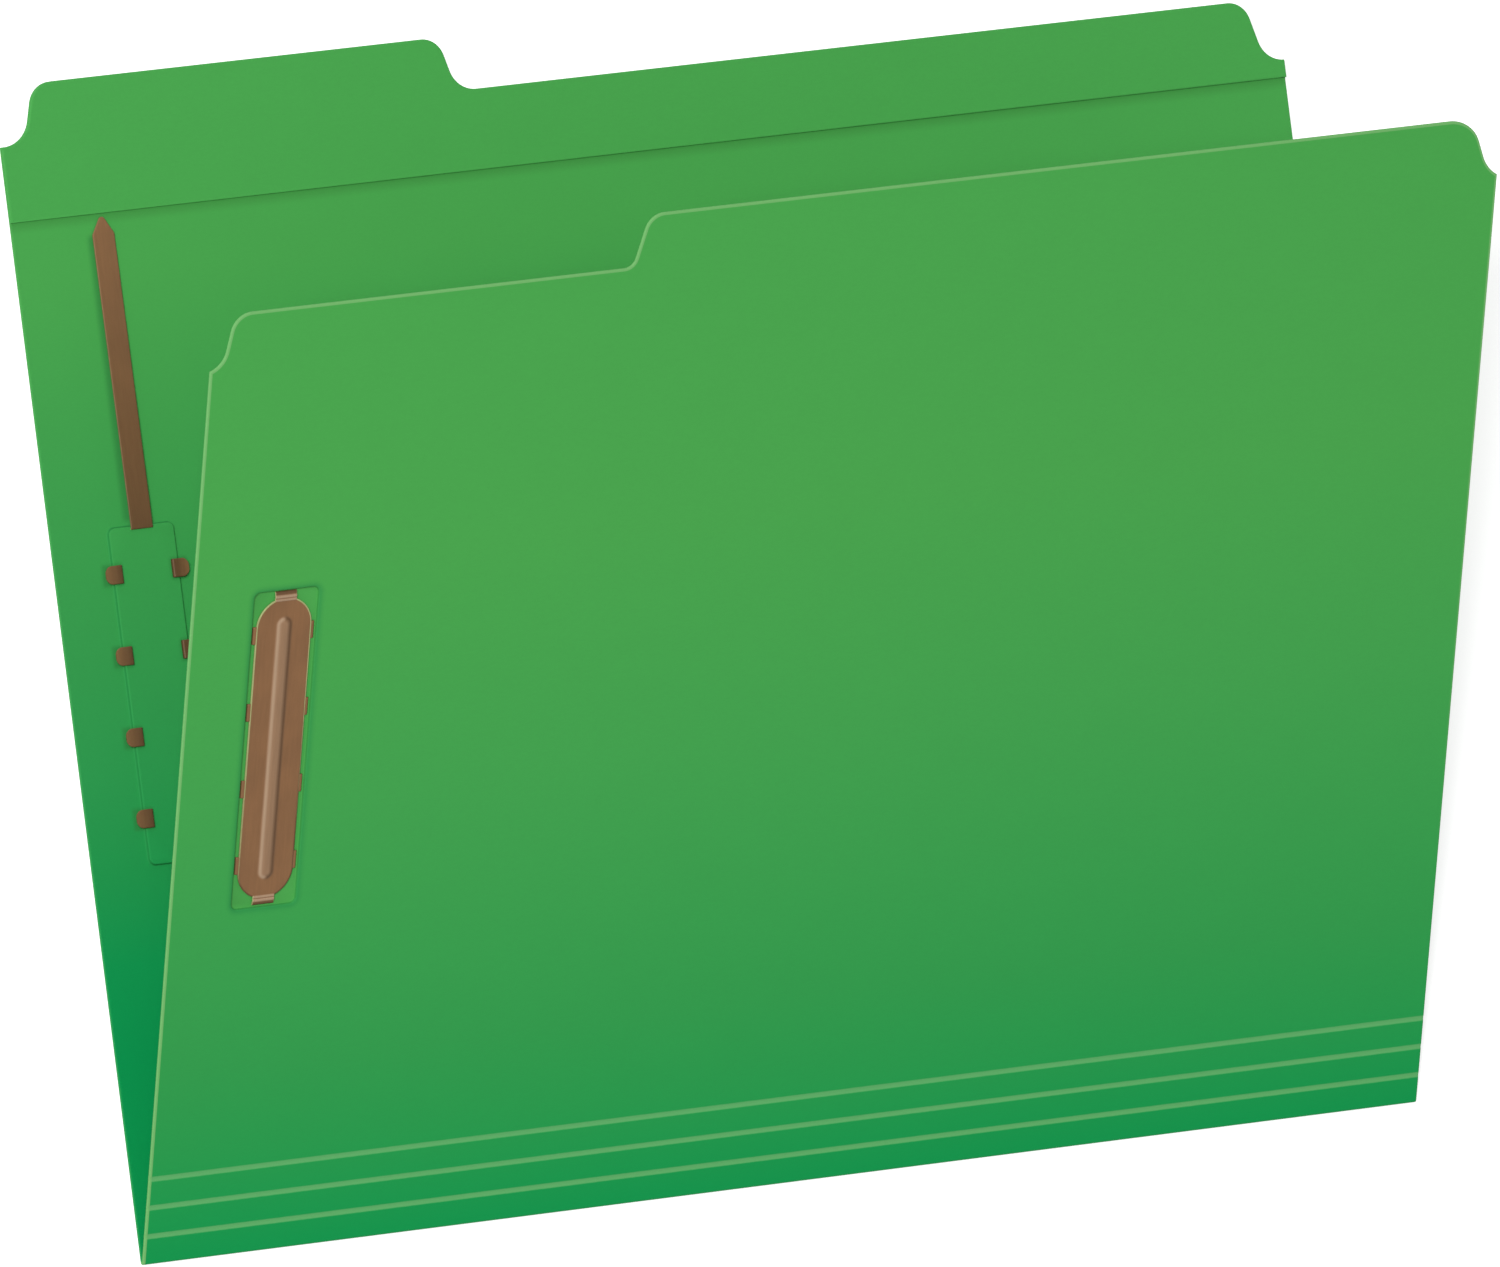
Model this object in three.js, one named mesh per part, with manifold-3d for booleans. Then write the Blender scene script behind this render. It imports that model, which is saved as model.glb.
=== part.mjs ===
// A letter-size fastener folder of green pressboard, lying on its back panel with the cover ajar.
// Millimetres. The back panel is flat on the XY plane with its outside down, the fold runs along X
// at the -Y side, the tab points to +Y, and the origin is the middle of the back panel's underside.
import * as THREE from "three";
import { mergeVertices } from "three/addons/utils/BufferGeometryUtils.js";
import Module from "manifold-3d";

const wasm = await Module();
wasm.setup();

// Board
const PANEL_WIDTH = 298.45; // along the fold
const BOARD_THICKNESS = 0.64; // thickness of one ply
const OPEN_ANGLE = 24.2; // degrees between the panels, as the folder lies
const FOLD_GAP = 0.15; // from each crease line to the edge of the stretch beside it

// Back panel. Drops are measured down from the tab's top edge.
const TAB_HEIGHT = 241.3; // above the fold
const TAB_WIDTH = 98.7;
const TAB_LEFT_DROP = 12.3; // to the corner at the tab's left end
const TAB_LEFT_LAND = 0.8; // level run from that corner to the tab
const BACK_DROP = 11.3; // to the top edge beside the tab
const BACK_RIGHT_DROP = 24.2; // to the corner at the right end
const PLY_DROP = 27.9; // to the lower edge of the second ply inside the top

// Front panel and the gusset strips between the fold and the three scores
const FRONT_DROP = 23.8; // to the top edge of the right two thirds
const FRONT_THIRD_DROP = 35.1; // to the left third's top edge, cut lower to show the tab
const FRONT_THIRD_WIDTH = 94.4;
const FRONT_LEFT_DROP = 47.2;
const FRONT_RIGHT_DROP = 36.6;
const FIRST_SCORE_HEIGHT = 5.7;
const SCORE_PITCH = 6.3;
const SCORE_COUNT = 3;

// S-shaped steps of the outlines: radii of the first and second arc, and the slope between them,
// with the heading in degrees on which an arc meets the panel's side where it is cut short
const TAB_LEFT_STEP = { first: 6.4, second: 5.2, slope: 75 };
const TAB_RIGHT_STEP = { first: 5.0, second: 5.8, slope: 75 };
const BACK_RIGHT_STEP = { first: 5.0, second: 5.8, slope: 75 };
const FRONT_LEFT_STEP = { first: 5.2, second: 4.6, slope: 80, enter: 18 };
const FRONT_MIDDLE_STEP = { first: 2.6, second: 4.3, slope: 75 };
const FRONT_RIGHT_STEP = { first: 7.9, second: 8.6, slope: 69, leave: 31 };

// Fasteners: a stadium-shaped base outside the board, tangs and prongs through slits to the inside
const FASTENER_SHARE = 0.475; // of the tab's height, up to the middle of the back fastener
const BACK_FASTENER_X = 20.6;
const FRONT_FASTENER_X = 21.7;
const FRONT_FASTENER_DROP = 4.6; // of the front fastener below the back one
const METAL_THICKNESS = 0.35;
const BASE_WIDTH = 12.7;
const BASE_LENGTH = 65.6;
const RIB_WIDTH = 3.5;
const RIB_LENGTH = 57.2;
const RIB_RISE = 0.35;
const RIB_ROUND = 0.9; // width of the rib's rounded shoulder
const TANG_COUNT = 4; // on each side
const TANG_PITCH = 16.7;
const TANG_WIDTH = 3.8;
const TANG_RUN = 0.75; // from the base's edge to the far side of the tang's upright
const TANG_FLAP = 2.8; // length of the clinched flap inside
const TANG_ROUND = 1.5; // corner radius of the flap's free end
const PRONG_WIDTH = 5.0;
const PLY_CLEARANCE = 0.775; // from the back's upper prong, lying outward, to the second ply
const EDGE_CLEARANCE = 1.1; // from the front's upper prong, lying outward, to the top edge
const PRONG_TAPER = 3.5;
const PRONG_TIP_WIDTH = 0.9;
const NECK_RUN = 1.4; // from the base's end to the far side of the prong's upright
const SEAT = 0.05; // clearance between metal and board where they are pressed together
const BEND_GAP = 0.15; // clearance of a prong over the board at its bend

// Embossed recess that takes a base below the outer face
const EMBOSS_DEPTH = 0.8;
const EMBOSS_WALL = 0.35;
const EMBOSS_CORNER = 1.4;
const SLIT_CLEARANCE = 0.1;
const SLIT_LAND = 0.25; // board left between a slit and the recess's side
const CUT_MARGIN = 1; // how far a cut runs past the board on each side

// Angles of the prongs above their panel, from lying outward: degrees
const PRONG_FLAT = -0.65; // tip down on the board
const PRONG_FOLDED_IN = 179.6; // flat over the base

// Places that follow from the sizes
const LAST_SCORE = FIRST_SCORE_HEIGHT + (SCORE_COUNT - 1) * SCORE_PITCH;
const RECESS_FLOOR = EMBOSS_DEPTH - BOARD_THICKNESS; // outer side of the board inside the recess
const UPRIGHT_X = BASE_WIDTH / 2 + TANG_RUN; // far side of the tangs' uprights from the centre line
const UPRIGHT_Y = BASE_LENGTH / 2 + NECK_RUN; // far side of the prongs' uprights from the middle
const RECESS_WIDTH = 2 * (UPRIGHT_X + SLIT_CLEARANCE + SLIT_LAND);
const RECESS_LENGTH = 2 * (UPRIGHT_Y + SLIT_CLEARANCE + SLIT_LAND);
const BASE_INNER = RECESS_FLOOR - SEAT;
const BASE_OUTER = BASE_INNER - METAL_THICKNESS;
const FLAP_BOTTOM = EMBOSS_DEPTH + SEAT;
const PRONG_AXIS_Y = UPRIGHT_Y - METAL_THICKNESS / 2;
const PRONG_AXIS_Z = EMBOSS_DEPTH + BEND_GAP + METAL_THICKNESS / 2;
const BACK_HEIGHT = TAB_HEIGHT - BACK_DROP;
const PLY_EDGE = TAB_HEIGHT - PLY_DROP;
const FRONT_HEIGHT = TAB_HEIGHT - FRONT_DROP;
const FRONT_THIRD_HEIGHT = TAB_HEIGHT - FRONT_THIRD_DROP;
const BACK_FASTENER = { x: BACK_FASTENER_X, height: FASTENER_SHARE * TAB_HEIGHT };
const FRONT_FASTENER = { x: FRONT_FASTENER_X, height: BACK_FASTENER.height - FRONT_FASTENER_DROP };
const BACK_PRONG_LENGTH = PLY_EDGE - PLY_CLEARANCE - BACK_FASTENER.height - PRONG_AXIS_Y;
const FRONT_PRONG_LENGTH =
  FRONT_THIRD_HEIGHT - EDGE_CLEARANCE - FRONT_FASTENER.height - PRONG_AXIS_Y;

// Every panel is drawn in one frame: x along the fold, y up the panel from the fold, and z through
// it, 0 on the inner face and -BOARD_THICKNESS on the outer one.

const radians = THREE.MathUtils.degToRad;

// A closed geometry as a solid that can be cut and joined.
function solid(geometry) {
  const bare = geometry.clone();
  bare.deleteAttribute("normal");
  bare.deleteAttribute("uv");
  const merged = mergeVertices(bare, 1e-4);
  return new wasm.Manifold(
    new wasm.Mesh({
      numProp: 3,
      vertProperties: merged.attributes.position.array,
      triVerts: new Uint32Array(merged.index.array),
    }),
  );
}

// A cut or joined solid as a geometry with flat-shaded faces.
function geometryOf(manifold) {
  const { vertProperties, triVerts } = manifold.getMesh();
  const indexed = new THREE.BufferGeometry();
  indexed.setAttribute("position", new THREE.BufferAttribute(vertProperties, 3));
  indexed.setIndex(new THREE.BufferAttribute(triVerts, 1));
  const geometry = indexed.toNonIndexed();
  geometry.computeVertexNormals();
  return geometry;
}

// A flat outline raised from low to high.
function slab(shape, low, high) {
  const geometry = new THREE.ExtrudeGeometry(shape, {
    depth: high - low,
    bevelEnabled: false,
    curveSegments: 6,
  });
  return geometry.translate(0, 0, low);
}

function box(x0, x1, y0, y1, z0, z1) {
  const geometry = new THREE.BoxGeometry(x1 - x0, y1 - y0, z1 - z0);
  return geometry.translate((x0 + x1) / 2, (y0 + y1) / 2, (z0 + z1) / 2);
}

// A rectangle about the origin with round corners; a radius of half its width makes a stadium.
function roundedRectangle(width, length, radius) {
  const shape = new THREE.Shape();
  const right = width / 2 - radius;
  const top = length / 2 - radius;
  shape.absarc(right, top, radius, 0, Math.PI / 2, false);
  shape.absarc(-right, top, radius, Math.PI / 2, Math.PI, false);
  shape.absarc(-right, -top, radius, Math.PI, 1.5 * Math.PI, false);
  shape.absarc(right, -top, radius, 1.5 * Math.PI, 2 * Math.PI, false);
  return shape;
}

// How far an S-shaped step of a given rise runs along x.
function stepRun(step, rise) {
  const { first, second, slope, enter = 0, leave = 0 } = step;
  const sine = Math.sin(radians(slope));
  const cosine = Math.cos(radians(slope));
  const arcRise =
    first * (Math.cos(radians(enter)) - cosine) + second * (Math.cos(radians(leave)) - cosine);
  const arcRun =
    first * (sine - Math.sin(radians(enter))) + second * (sine - Math.sin(radians(leave)));
  const straight = Math.max(Math.abs(rise) - arcRise, 0) / sine;
  return arcRun + straight * cosine;
}

// Adds an S-shaped step to an outline that is walked towards +x, from (x, from) to the height to.
function addStep(shape, step, x, from, to) {
  const { first, second, slope, enter = 0, leave = 0 } = step;
  const up = Math.sign(to - from);
  const run = stepRun(step, to - from);
  const quarter = Math.PI / 2;
  shape.absarc(
    x - first * Math.sin(radians(enter)),
    from + up * first * Math.cos(radians(enter)),
    first,
    up * (radians(enter) - quarter),
    up * (radians(slope) - quarter),
    up < 0,
  );
  shape.absarc(
    x + run + second * Math.sin(radians(leave)),
    to - up * second * Math.cos(radians(leave)),
    second,
    up * (quarter + radians(slope)),
    up * (quarter + radians(leave)),
    up > 0,
  );
}

function backOutline() {
  const [left, right] = [TAB_HEIGHT - TAB_LEFT_DROP, TAB_HEIGHT - BACK_RIGHT_DROP];
  const rightRun = stepRun(BACK_RIGHT_STEP, BACK_HEIGHT - right);
  const shape = new THREE.Shape();
  shape.moveTo(0, FOLD_GAP);
  shape.lineTo(0, left);
  addStep(shape, TAB_LEFT_STEP, TAB_LEFT_LAND, left, TAB_HEIGHT);
  addStep(shape, TAB_RIGHT_STEP, TAB_WIDTH, TAB_HEIGHT, BACK_HEIGHT);
  addStep(shape, BACK_RIGHT_STEP, PANEL_WIDTH - rightRun, BACK_HEIGHT, right);
  shape.lineTo(PANEL_WIDTH, FOLD_GAP);
  return shape;
}

function frontOutline() {
  const [left, right] = [TAB_HEIGHT - FRONT_LEFT_DROP, TAB_HEIGHT - FRONT_RIGHT_DROP];
  const rightRun = stepRun(FRONT_RIGHT_STEP, FRONT_HEIGHT - right);
  const bottom = LAST_SCORE + FOLD_GAP;
  const shape = new THREE.Shape();
  shape.moveTo(0, bottom);
  shape.lineTo(0, left);
  addStep(shape, FRONT_LEFT_STEP, 0, left, FRONT_THIRD_HEIGHT);
  addStep(shape, FRONT_MIDDLE_STEP, FRONT_THIRD_WIDTH, FRONT_THIRD_HEIGHT, FRONT_HEIGHT);
  addStep(shape, FRONT_RIGHT_STEP, PANEL_WIDTH - rightRun, FRONT_HEIGHT, right);
  shape.lineTo(PANEL_WIDTH, bottom);
  return shape;
}

// Heights of the tangs of one side, from the fastener's middle.
function tangPlaces() {
  const places = [];
  for (let i = 0; i < TANG_COUNT; i++) places.push((i - (TANG_COUNT - 1) / 2) * TANG_PITCH);
  return places;
}

// Slits that the tangs and prongs pass through, about the fastener's middle.
function slits() {
  const low = RECESS_FLOOR - CUT_MARGIN;
  const high = EMBOSS_DEPTH + CUT_MARGIN;
  const made = [];
  for (const side of [-1, 1]) {
    const [near, far] = [UPRIGHT_X - METAL_THICKNESS - SLIT_CLEARANCE, UPRIGHT_X + SLIT_CLEARANCE];
    const half = TANG_WIDTH / 2 + SLIT_CLEARANCE;
    for (const y of tangPlaces()) {
      const [x0, x1] = side > 0 ? [near, far] : [-far, -near];
      made.push(box(x0, x1, y - half, y + half, low, high));
    }
    const [neckNear, neckFar] = [UPRIGHT_Y - METAL_THICKNESS - SLIT_CLEARANCE, UPRIGHT_Y + SLIT_CLEARANCE];
    const neckHalf = PRONG_WIDTH / 2 + SLIT_CLEARANCE;
    const [y0, y1] = side > 0 ? [neckNear, neckFar] : [-neckFar, -neckNear];
    made.push(box(-neckHalf, neckHalf, y0, y1, low, high));
  }
  return made;
}

// Second ply glued inside the top of the back panel, cut along the same outline.
function topPly() {
  const low = -CUT_MARGIN;
  const high = BOARD_THICKNESS + CUT_MARGIN;
  const band = box(-CUT_MARGIN, PANEL_WIDTH + CUT_MARGIN, PLY_EDGE, TAB_HEIGHT + CUT_MARGIN, low, high);
  return geometryOf(solid(slab(backOutline(), 0, BOARD_THICKNESS)).intersect(solid(band)));
}

// A panel with the recess pressed into its outer face, which stands up on the inside, and the slits.
function embossedPanel(outline, place) {
  const moved = (geometry) => solid(geometry.translate(place.x, place.height, 0));
  const plateau = roundedRectangle(
    RECESS_WIDTH + 2 * EMBOSS_WALL,
    RECESS_LENGTH + 2 * EMBOSS_WALL,
    EMBOSS_CORNER + EMBOSS_WALL,
  );
  const recess = roundedRectangle(RECESS_WIDTH, RECESS_LENGTH, EMBOSS_CORNER);
  let panel = solid(slab(outline, -BOARD_THICKNESS, 0));
  panel = panel.add(moved(slab(plateau, -BOARD_THICKNESS / 2, EMBOSS_DEPTH)));
  panel = panel.subtract(moved(slab(recess, -BOARD_THICKNESS - CUT_MARGIN, RECESS_FLOOR)));
  for (const slit of slits()) panel = panel.subtract(moved(slit));
  return geometryOf(panel);
}

// Long low rib pressed outwards along the middle of the base.
function rib() {
  const shape = roundedRectangle(
    RIB_WIDTH - 2 * RIB_ROUND,
    RIB_LENGTH - 2 * RIB_ROUND,
    RIB_WIDTH / 2 - RIB_ROUND,
  );
  const geometry = new THREE.ExtrudeGeometry(shape, {
    depth: METAL_THICKNESS,
    bevelThickness: RIB_RISE,
    bevelSize: RIB_ROUND,
    bevelSegments: 3,
    curveSegments: 4,
  });
  const insideBase = box(
    -RIB_WIDTH,
    RIB_WIDTH,
    -RIB_LENGTH,
    RIB_LENGTH,
    BASE_OUTER + METAL_THICKNESS / 2,
    BASE_INNER + METAL_THICKNESS + RIB_RISE,
  );
  return solid(geometry.translate(0, 0, BASE_OUTER)).subtract(solid(insideBase));
}

// Clinched flap of a tang on the +x side, with its free end rounded.
function tangFlap(y) {
  const near = UPRIGHT_X - METAL_THICKNESS;
  const far = near + TANG_FLAP;
  const half = TANG_WIDTH / 2;
  const shape = new THREE.Shape();
  shape.moveTo(near, y - half);
  shape.lineTo(far - TANG_ROUND, y - half);
  shape.absarc(far - TANG_ROUND, y - half + TANG_ROUND, TANG_ROUND, -Math.PI / 2, 0, false);
  shape.absarc(far - TANG_ROUND, y + half - TANG_ROUND, TANG_ROUND, 0, Math.PI / 2, false);
  shape.lineTo(near, y + half);
  return slab(shape, FLAP_BOTTOM, FLAP_BOTTOM + METAL_THICKNESS);
}

// Base, rib, necks and tangs of one fastener: one piece of metal, about the fastener's middle.
function fastenerBase() {
  const stadium = roundedRectangle(BASE_WIDTH, BASE_LENGTH, BASE_WIDTH / 2);
  const neck = PRONG_WIDTH / 2;
  const tang = TANG_WIDTH / 2;
  let base = solid(slab(stadium, BASE_OUTER, BASE_INNER)).add(rib());
  base = base.add(solid(box(-neck, neck, -UPRIGHT_Y, UPRIGHT_Y, BASE_OUTER, BASE_INNER)));
  for (const turn of [0, Math.PI]) {
    const upright = box(
      -neck,
      neck,
      UPRIGHT_Y - METAL_THICKNESS,
      UPRIGHT_Y,
      BASE_OUTER,
      FLAP_BOTTOM,
    );
    base = base.add(solid(upright.rotateZ(turn)));
  }
  for (const y of tangPlaces()) {
    const arm = box(-UPRIGHT_X, UPRIGHT_X, y - tang, y + tang, BASE_OUTER, BASE_INNER);
    base = base.add(solid(arm));
    for (const turn of [0, Math.PI]) {
      const upright = box(
        UPRIGHT_X - METAL_THICKNESS,
        UPRIGHT_X,
        y - tang,
        y + tang,
        BASE_OUTER,
        FLAP_BOTTOM + METAL_THICKNESS,
      );
      base = base.add(solid(upright.rotateZ(turn)));
      base = base.add(solid(tangFlap(y).rotateZ(turn)));
    }
  }
  return geometryOf(base);
}

// A prong from its bend at the origin to its tip along +y, with a round heel on the bend.
function prongShape(length) {
  const half = PRONG_WIDTH / 2;
  const shape = new THREE.Shape();
  shape.moveTo(-half, 0);
  shape.lineTo(half, 0);
  shape.lineTo(half, length - PRONG_TAPER);
  shape.lineTo(PRONG_TIP_WIDTH / 2, length);
  shape.lineTo(-PRONG_TIP_WIDTH / 2, length);
  shape.lineTo(-half, length - PRONG_TAPER);
  const heel = new THREE.CylinderGeometry(METAL_THICKNESS / 2, METAL_THICKNESS / 2, PRONG_WIDTH, 16);
  const strip = solid(slab(shape, -METAL_THICKNESS / 2, METAL_THICKNESS / 2));
  return geometryOf(strip.add(solid(heel.rotateZ(Math.PI / 2))));
}

const green = { color: 0x4ca34c, roughness: 0.75, metalness: 0 };
const brown = { color: 0x835e41, roughness: 0.45, metalness: 0.4 };

function mesh(name, geometry, look) {
  const made = new THREE.Mesh(geometry, new THREE.MeshStandardMaterial(look));
  made.name = name;
  return made;
}

// A prong hinged at the upper (end 1) or lower (end -1) end of a fastener, turned up by an angle.
function prong(name, place, length, end, angle) {
  const bend = new THREE.Group();
  bend.position.set(place.x, place.height + end * PRONG_AXIS_Y, PRONG_AXIS_Z);
  bend.rotation.x = end * radians(angle);
  const strip = mesh(name, prongShape(length), brown);
  if (end < 0) strip.rotation.z = Math.PI;
  bend.add(strip);
  return bend;
}

function fastener(name, place) {
  const made = mesh(name, fastenerBase(), brown);
  made.position.set(place.x, place.height, 0);
  return made;
}

function backSide() {
  const side = new THREE.Group();
  side.add(mesh("back_panel", embossedPanel(backOutline(), BACK_FASTENER), green));
  side.add(mesh("back_top_ply", topPly(), green));
  side.add(fastener("back_fastener", BACK_FASTENER));
  side.add(prong("back_upper_prong", BACK_FASTENER, BACK_PRONG_LENGTH, 1, PRONG_FLAT));
  side.add(prong("back_lower_prong", BACK_FASTENER, BACK_PRONG_LENGTH, -1, PRONG_FLAT));
  return side;
}

function gussetStrips() {
  const strips = [];
  for (let i = 0; i < SCORE_COUNT; i++) {
    const low = (i ? FIRST_SCORE_HEIGHT + (i - 1) * SCORE_PITCH : 0) + FOLD_GAP;
    const high = FIRST_SCORE_HEIGHT + i * SCORE_PITCH - FOLD_GAP;
    const strip = box(0, PANEL_WIDTH, low, high, -BOARD_THICKNESS, 0);
    strips.push(mesh("gusset_strip_" + (i + 1), strip, green));
  }
  return strips;
}

function frontSide() {
  const side = new THREE.Group();
  side.add(...gussetStrips());
  side.add(mesh("front_panel", embossedPanel(frontOutline(), FRONT_FASTENER), green));
  side.add(fastener("front_fastener", FRONT_FASTENER));
  side.add(prong("front_upper_prong", FRONT_FASTENER, FRONT_PRONG_LENGTH, 1, PRONG_FLAT));
  side.add(prong("front_lower_prong", FRONT_FASTENER, FRONT_PRONG_LENGTH, -1, PRONG_FOLDED_IN));
  return side;
}

// The two sides meet on the fold line, which lies on both inner faces. The front side is the back
// one's mirror image, so that its inner face looks down at the back panel.
const back = backSide();
const front = frontSide();
front.scale.z = -1;
front.rotation.x = radians(OPEN_ANGLE);

const folder = new THREE.Group();
for (const side of [back, front]) {
  side.position.set(-PANEL_WIDTH / 2, -TAB_HEIGHT / 2, BOARD_THICKNESS);
  folder.add(side);
}

export default folder;
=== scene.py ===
"""Looks of a green fastener folder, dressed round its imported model."""

import math

import bmesh
import bpy
from mathutils import Matrix, Vector
from mathutils.geometry import delaunay_2d_cdt


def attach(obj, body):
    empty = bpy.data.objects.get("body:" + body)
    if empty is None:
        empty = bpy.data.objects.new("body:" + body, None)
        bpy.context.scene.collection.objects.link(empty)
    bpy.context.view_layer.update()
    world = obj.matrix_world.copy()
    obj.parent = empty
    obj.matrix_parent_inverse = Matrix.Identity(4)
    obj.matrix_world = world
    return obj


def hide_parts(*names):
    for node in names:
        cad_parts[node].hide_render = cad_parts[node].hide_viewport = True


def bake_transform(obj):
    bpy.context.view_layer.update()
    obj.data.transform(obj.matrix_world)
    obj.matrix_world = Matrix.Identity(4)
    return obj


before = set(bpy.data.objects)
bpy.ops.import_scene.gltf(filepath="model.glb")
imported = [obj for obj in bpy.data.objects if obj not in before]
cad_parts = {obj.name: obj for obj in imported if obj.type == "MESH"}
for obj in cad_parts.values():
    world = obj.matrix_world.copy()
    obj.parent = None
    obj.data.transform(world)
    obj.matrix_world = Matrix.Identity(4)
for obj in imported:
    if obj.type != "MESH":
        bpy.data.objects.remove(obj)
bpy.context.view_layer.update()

# Sizes in millimetres, on one flat panel: x along the fold, y up the panel from the fold, and z
# through it, 0 on the inner face and -BOARD on the outer one.
PANEL_WIDTH = 298.45
BOARD = 0.64
OPEN_ANGLE = math.radians(24.2)
TAB_HEIGHT, TAB_WIDTH, TAB_LEFT_LAND = 241.3, 98.7, 0.8
BACK_HEIGHT, BACK_LEFT, BACK_RIGHT = 230.0, 229.0, 217.1
PLY_EDGE = 213.4
FRONT_HEIGHT, FRONT_LEFT, FRONT_RIGHT = 217.5, 194.1, 204.7
FRONT_THIRD_HEIGHT, FRONT_THIRD_WIDTH = 206.2, 94.4
SCORES = (5.7, 12.0, 18.3)
SCORE_HALF = 0.9  # half of the creased band on a score
FOLD_HALF = 0.05  # half of the hair-thin crease that is left when the folder lies open

# S-shaped steps of the outlines: two radii, then the slope between them and the headings at
# which the arcs begin and end, in degrees
TAB_LEFT_STEP = (6.4, 5.2, 75, 0, 0)
TAB_RIGHT_STEP = (5.0, 5.8, 75, 0, 0)
BACK_RIGHT_STEP = (5.0, 5.8, 75, 0, 0)
FRONT_LEFT_STEP = (5.2, 4.6, 80, 18, 0)
FRONT_MIDDLE_STEP = (2.6, 4.3, 75, 0, 0)
FRONT_RIGHT_STEP = (7.9, 8.6, 69, 0, 31)
ARC_STEPS = 12

# Fasteners, about their own middle
BACK_FASTENER = (20.6, 114.6175)
FRONT_FASTENER = (21.7, 110.0175)
METAL = 0.35
BASE_HALF_WIDTH, BASE_HALF_LENGTH = 6.35, 32.8
BASE_INNER = 0.11
BASE_OUTER = BASE_INNER - METAL
BASE_MIDDLE = (BASE_INNER + BASE_OUTER) / 2
RIB_HALF_WIDTH, RIB_HALF_LENGTH, RIB_RISE = 1.75, 28.6, 0.35
TANG_PLACES = (-25.05, -8.35, 8.35, 25.05)
TANG_HALF_WIDTH, TANG_FLAP, TANG_ROUND = 1.9, 2.8, 1.5
PRONG_HALF_WIDTH, BACK_PRONG_LENGTH, FRONT_PRONG_LENGTH = 2.5, 63.98, 61.06
PRONG_TAPER, PRONG_TIP_HALF = 3.5, 0.45
UPRIGHT_X, UPRIGHT_Y = 7.1, 34.2  # far sides of the tangs' and prongs' uprights
HEM_NEAR = 5.75  # near side of the hem that a tang makes over its slit
HEM_LOW, HEM_HIGH = 0.72, 1.22  # heights of the hem's two bends
TANG_END = UPRIGHT_X - METAL + TANG_FLAP
FLAP_MIDDLE = 1.025
FLAP_DROP = 0.1  # of a tang's flap from its hem to its free end
PRONG_AXIS_Y, PRONG_AXIS_Z = 34.025, 1.125
PRONG_FLAT, PRONG_FOLDED_IN = math.radians(-0.65), math.radians(179.6)

# Recess that is pressed into the outer face and stands up on the inner one
RECESS_HALF_WIDTH, RECESS_HALF_LENGTH, RECESS_CORNER = 7.45, 34.55, 1.4
RECESS_FLOOR, PLATEAU = 0.16, 0.8
SLIT_TUCK = 0.04  # of the metal into the torn fibres at a slit's sides
TANG_SLIT_NEAR = 5.8  # near side of the slits that the tangs' hems cover

EDGE_ROUND = 0.15  # rounding of the board's cut edges
PALE_BAND = 0.42  # width of the pale band beside a cut edge: wear from handling with a painted highlight
PALE_BAND_FADE = 0.2
METAL_ROUND = 0.09
SMOOTH_BELOW = math.radians(52)  # bends sharper than this stay crisp

# Painted shadows on the inner face: half width, half length and fade
TANG_SHADOW, TANG_SHADOW_X = (1.6, 1.7, 1.1), 7.625
PRONG_SHADOW, PRONG_SHADOW_Y = (0.2, 28.5, 1.5), 65.0
TANG_ROWS = (20, 30, 1)  # the part of the panel that the tangs' painted shadows repeat in

# Shade on the panel along the ply's edge: where it begins, is full, starts to end and ends
SEAM_SHADE = tuple((PLY_EDGE + off) / 1000 for off in (-2.8, -0.3, 0.0, 0.3))

# Strengths of the studio's light: the fill from all round, the lamp, and the floor's own glow
FILL, LAMP_WATTS, FLOOR_GLOW = 0.41, 165, 0.62
FLOOR_GREY = (0.82, 0.82, 0.82, 1.0)
WHITE = (1.0, 1.0, 1.0, 1.0)


def on_back(x, y, z):
    """Point of the back panel, in metres in the model's frame."""
    return Vector((x - PANEL_WIDTH / 2, y - TAB_HEIGHT / 2, z + BOARD)) / 1000


def on_front(x, y, z):
    """Point of the front side, which is mirrored and raised about the fold."""
    sine, cosine = math.sin(OPEN_ANGLE), math.cos(OPEN_ANGLE)
    return on_back(x, y * cosine + z * sine, y * sine - z * cosine)


def place_camera():
    """The photograph's view, fitted to the folder's straight edges in it."""
    data = bpy.data.cameras.new("camera")
    data.lens, data.sensor_width, data.sensor_fit = 1000, 36, "HORIZONTAL"
    data.clip_start, data.clip_end = 0.1, 100
    camera = bpy.data.objects.new("camera", data)
    right = Vector((0.877038, -0.125758, 0.46367)).normalized()
    up = Vector((0.106205, 0.992005, 0.068167))
    up = (up - up.dot(right) * right).normalized()
    turn = Matrix((right, up, right.cross(up))).transposed().to_4x4()
    camera.matrix_world = Matrix.Translation((-4.00592, -0.09868, 7.56898)) @ turn
    bpy.context.scene.collection.objects.link(camera)
    bpy.context.scene.camera = camera


def light(name, place, size, power):
    """A round soft light that faces the folder and isn't seen itself."""
    data = bpy.data.lights.new(name, "AREA")
    data.shape, data.size, data.energy = "DISK", size, power
    lamp = bpy.data.objects.new(name, data)
    lamp.location = place
    lamp.rotation_euler = (-Vector(place)).to_track_quat("-Z", "Y").to_euler()
    lamp.visible_camera = False
    bpy.context.scene.collection.objects.link(lamp)


# Shader nodes

def put(tree, kind, inputs=None, **settings):
    """A node with its settings; an input's value is a number, a colour or another node's output."""
    node = tree.nodes.new(kind)
    for key, value in settings.items():
        setattr(node, key, value)
    for key, value in (inputs or {}).items():
        if isinstance(value, bpy.types.NodeSocket):
            tree.links.new(value, node.inputs[key])
        else:
            node.inputs[key].default_value = value
    return node


def sums(tree, operation, a, b=0.0):
    return put(tree, "ShaderNodeMath", {0: a, 1: b}, operation=operation).outputs[0]


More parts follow.
